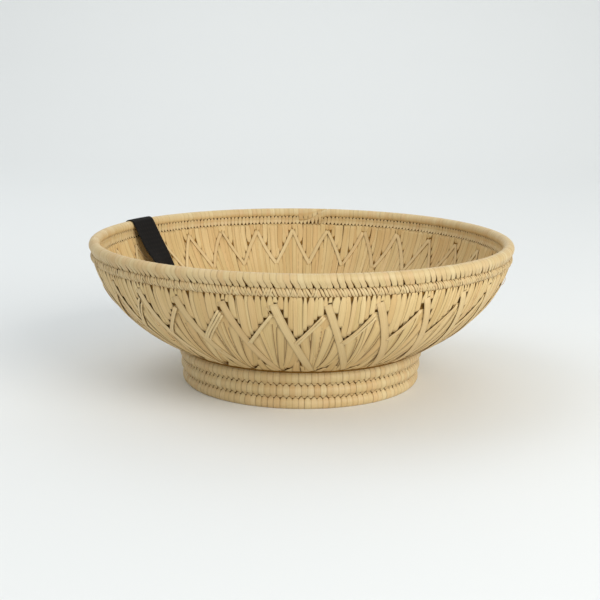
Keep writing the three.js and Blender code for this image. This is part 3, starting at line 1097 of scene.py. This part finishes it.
# Woven polyester tape: near black, matt, with threads about 0.4 mm apart.
def tapeMaterial():
    material, tree, shader = startMaterial("wovenPolyesterTape")
    weave = addNode(tree, "Attribute", attribute_name="strip").outputs["Vector"]
    threads = []
    for direction, spacing in (("X", 0.0004), ("Y", 0.0005)):
        wave = {"Vector": weave, "Scale": 1 / (spacing * 20)}
        threads.append(addNode(tree, "TexWave", wave, bands_direction=direction).outputs["Fac"])
    cloth = addNode(tree, "Math", dict(enumerate(threads)), operation="MULTIPLY").outputs[0]
    ramp = setStops(addNode(tree, "ValToRGB", {0: cloth}), ((0.0, "#0b0908"), (1.0, "#171412")))
    bump = addNode(tree, "Bump", {"Height": cloth, "Strength": 0.5, "Distance": 0.0001})
    setInputs(tree, shader, {"Base Color": ramp.outputs[0], "Normal": bump.outputs[0]})
    setInputs(tree, shader, {"Roughness": 0.8, "Specular IOR Level": 0.2})
    return material


# Cloth label: a tape folded over the rim, with a leg outside and a loose tail inside.
labelPiece = {
    "azimuth": -119.8, "width": 20.8, "thickness": 0.4, "leg": 12.0, "lean": 59, "gap": 0.4,
    "tail": 36.0, "fold": 3.75,
    "bend": (0.4, 2.6),  # outside and inside the hinge, where the cloth bends
    "wave": (0.5, 0.16),  # along the tail: height, and radians to a millimetre
    "cup": (0.7, 4.2),  # across it: height, and radians to its width
    "curl": (3.6, 20),  # height of the free end's lifted corner, and its length
    "grid": (12, 60),
}


def makeLabel():
    look = labelPiece
    centreOut, bottom, bundle = rimLoops[1]
    centreUp = bottom + bundle / 2
    leave = math.radians(90 + look["lean"])
    fold = look["fold"]
    (wave, pace), (cup, cupPace), (curl, curlRun) = look["wave"], look["cup"], look["curl"]
    arc = fold * leave
    total = look["leg"] + arc + look["gap"] + look["tail"]
    turn = math.radians(look["azimuth"])
    outward = Vector((math.sin(turn), -math.cos(turn), 0))
    sideways = Vector((math.cos(turn), math.sin(turn), 0))

    # A place along the tape in the rim's own section, with its face's direction.
    def section(run):
        if run < look["leg"]:
            return centreOut + fold, centreUp - look["leg"] + run, 1, 0
        run -= look["leg"]
        angle = min(run / fold, leave)
        out, up = math.cos(angle), math.sin(angle)
        rest = max(0, run - arc)
        return centreOut + fold * out - rest * up, centreUp + fold * up + rest * out, out, up

    bm = bmesh.new()
    weave = bm.verts.layers.float_vector.new("strip")
    for vert in addGrid(bm, *look["grid"]):
        across, along = vert.co.x, vert.co.y + 0.5
        run = along * total
        out, up, normalOut, normalUp = section(run)
        free = ease((run - look["leg"] - arc) / look["tail"])
        lift = free * (wave * math.sin(run * pace + 0.8) + cup * math.cos(across * cupPace + 0.5) * free)
        lift += curl * ease((run - total + curlRun) / curlRun) * ease((across + 0.1) * 2)
        # The rim curves away under the tape's sides.
        bend = (across * look["width"]) ** 2 / (2 * centreOut) * (1 - free)
        point = outward * (out + normalOut * lift - bend) + sideways * across * look["width"]
        point += Vector((0, 0, up + normalUp * lift))
        vert[weave] = (across * look["width"] * toMetres, run * toMetres, 0.5)
        vert.co = point * toMetres
    label = makeObject("clothLabel", bm, tapeMaterial())
    thicken(label, look["thickness"], 1)
    hinge = outward * (centreOut - fold * math.sin(math.radians(look["lean"])))
    hinge.z = centreUp + fold * math.cos(math.radians(look["lean"]))
    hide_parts("label_saddle", "label_tail")
    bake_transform(label)


makeLabel()
print("label done")


# Floor, lights and camera, in metres. The floor is flat in front and sweeps up behind.
studio = {
    "floor": {"colour": "#e9ebea", "wide": 8, "long": 6, "front": 2, "flat": 3.2, "bend": 0.8},
    "lamps": (  # name, watts, size, place and colour
        ("keyLight", 21.0, 1.1, (1.05, -1.15, 0.82), "#fffcf7"),
        ("fillLight", 7.0, 1.4, (-1.05, 0.2, 1.45), "#f4f8ff"),
        ("backLight", 5.0, 1.4, (0.1, 1.3, 1.3), "#ffffff"),
    ),
    "aim": (0, 0, 0.04),
    "world": ("#f3f6f8", 0.63),
    "lens": 69.06,
    "camera": (0.0020, -0.690, 0.1954),
    "cameraTurns": (("Z", 0.22), ("X", 90 - 12.11), ("Z", 0.55)),  # pan, tilt and roll
}


def makeFloorSweep():
    look = studio["floor"]
    flat, radius = look["flat"], look["bend"]
    bm = bmesh.new()
    for vert in addGrid(bm, 1, 40):
        side, run = vert.co.x * look["wide"], (vert.co.y + 0.5) * look["long"]
        bend = min(max(run - flat, 0) / radius, math.pi / 2)
        beyond = max(0, run - flat - radius * math.pi / 2)
        back = min(run, flat) - look["front"] + radius * math.sin(bend)
        vert.co = (side, back, radius * (1 - math.cos(bend)) + beyond)
    # Rolled backdrop paper: matt and even, with no grain to see.
    material, tree, shader = startMaterial("matPaperBackdrop")
    paper = {"Base Color": colour(look["colour"]), "Roughness": 0.9, "Specular IOR Level": 0.1}
    setInputs(tree, shader, paper)
    makeObject("studioFloor", bm, material)


def makeLights():
    for name, power, size, place, tint in studio["lamps"]:
        light = bpy.data.lights.new(name, "AREA")
        light.energy = power
        light.size = size
        light.color = colour(tint)[:3]
        lamp = addObject(name, light)
        lamp.location = place
        towards = Vector(studio["aim"]) - Vector(place)
        lamp.rotation_euler = towards.to_track_quat("-Z", "Y").to_euler()

    tint, strength = studio["world"]
    world = bpy.data.worlds.new("softWorld")
    bpy.context.scene.world = world
    world.use_nodes = True
    background = world.node_tree.nodes["Background"]
    setInputs(world.node_tree, background, {"Color": colour(tint), "Strength": strength})


def makeCamera():
    data = bpy.data.cameras.new("camera")
    data.lens = studio["lens"]
    data.sensor_width = 36
    camera = addObject("camera", data)
    placed = Matrix.Translation(studio["camera"])
    for axis, angle in studio["cameraTurns"]:
        placed = placed @ Matrix.Rotation(math.radians(angle), 4, axis)
    camera.matrix_world = placed
    bpy.context.scene.camera = camera


makeFloorSweep()
makeLights()
makeCamera()
bpy.context.scene.view_settings.view_transform = "Standard"
print("studio and camera done")
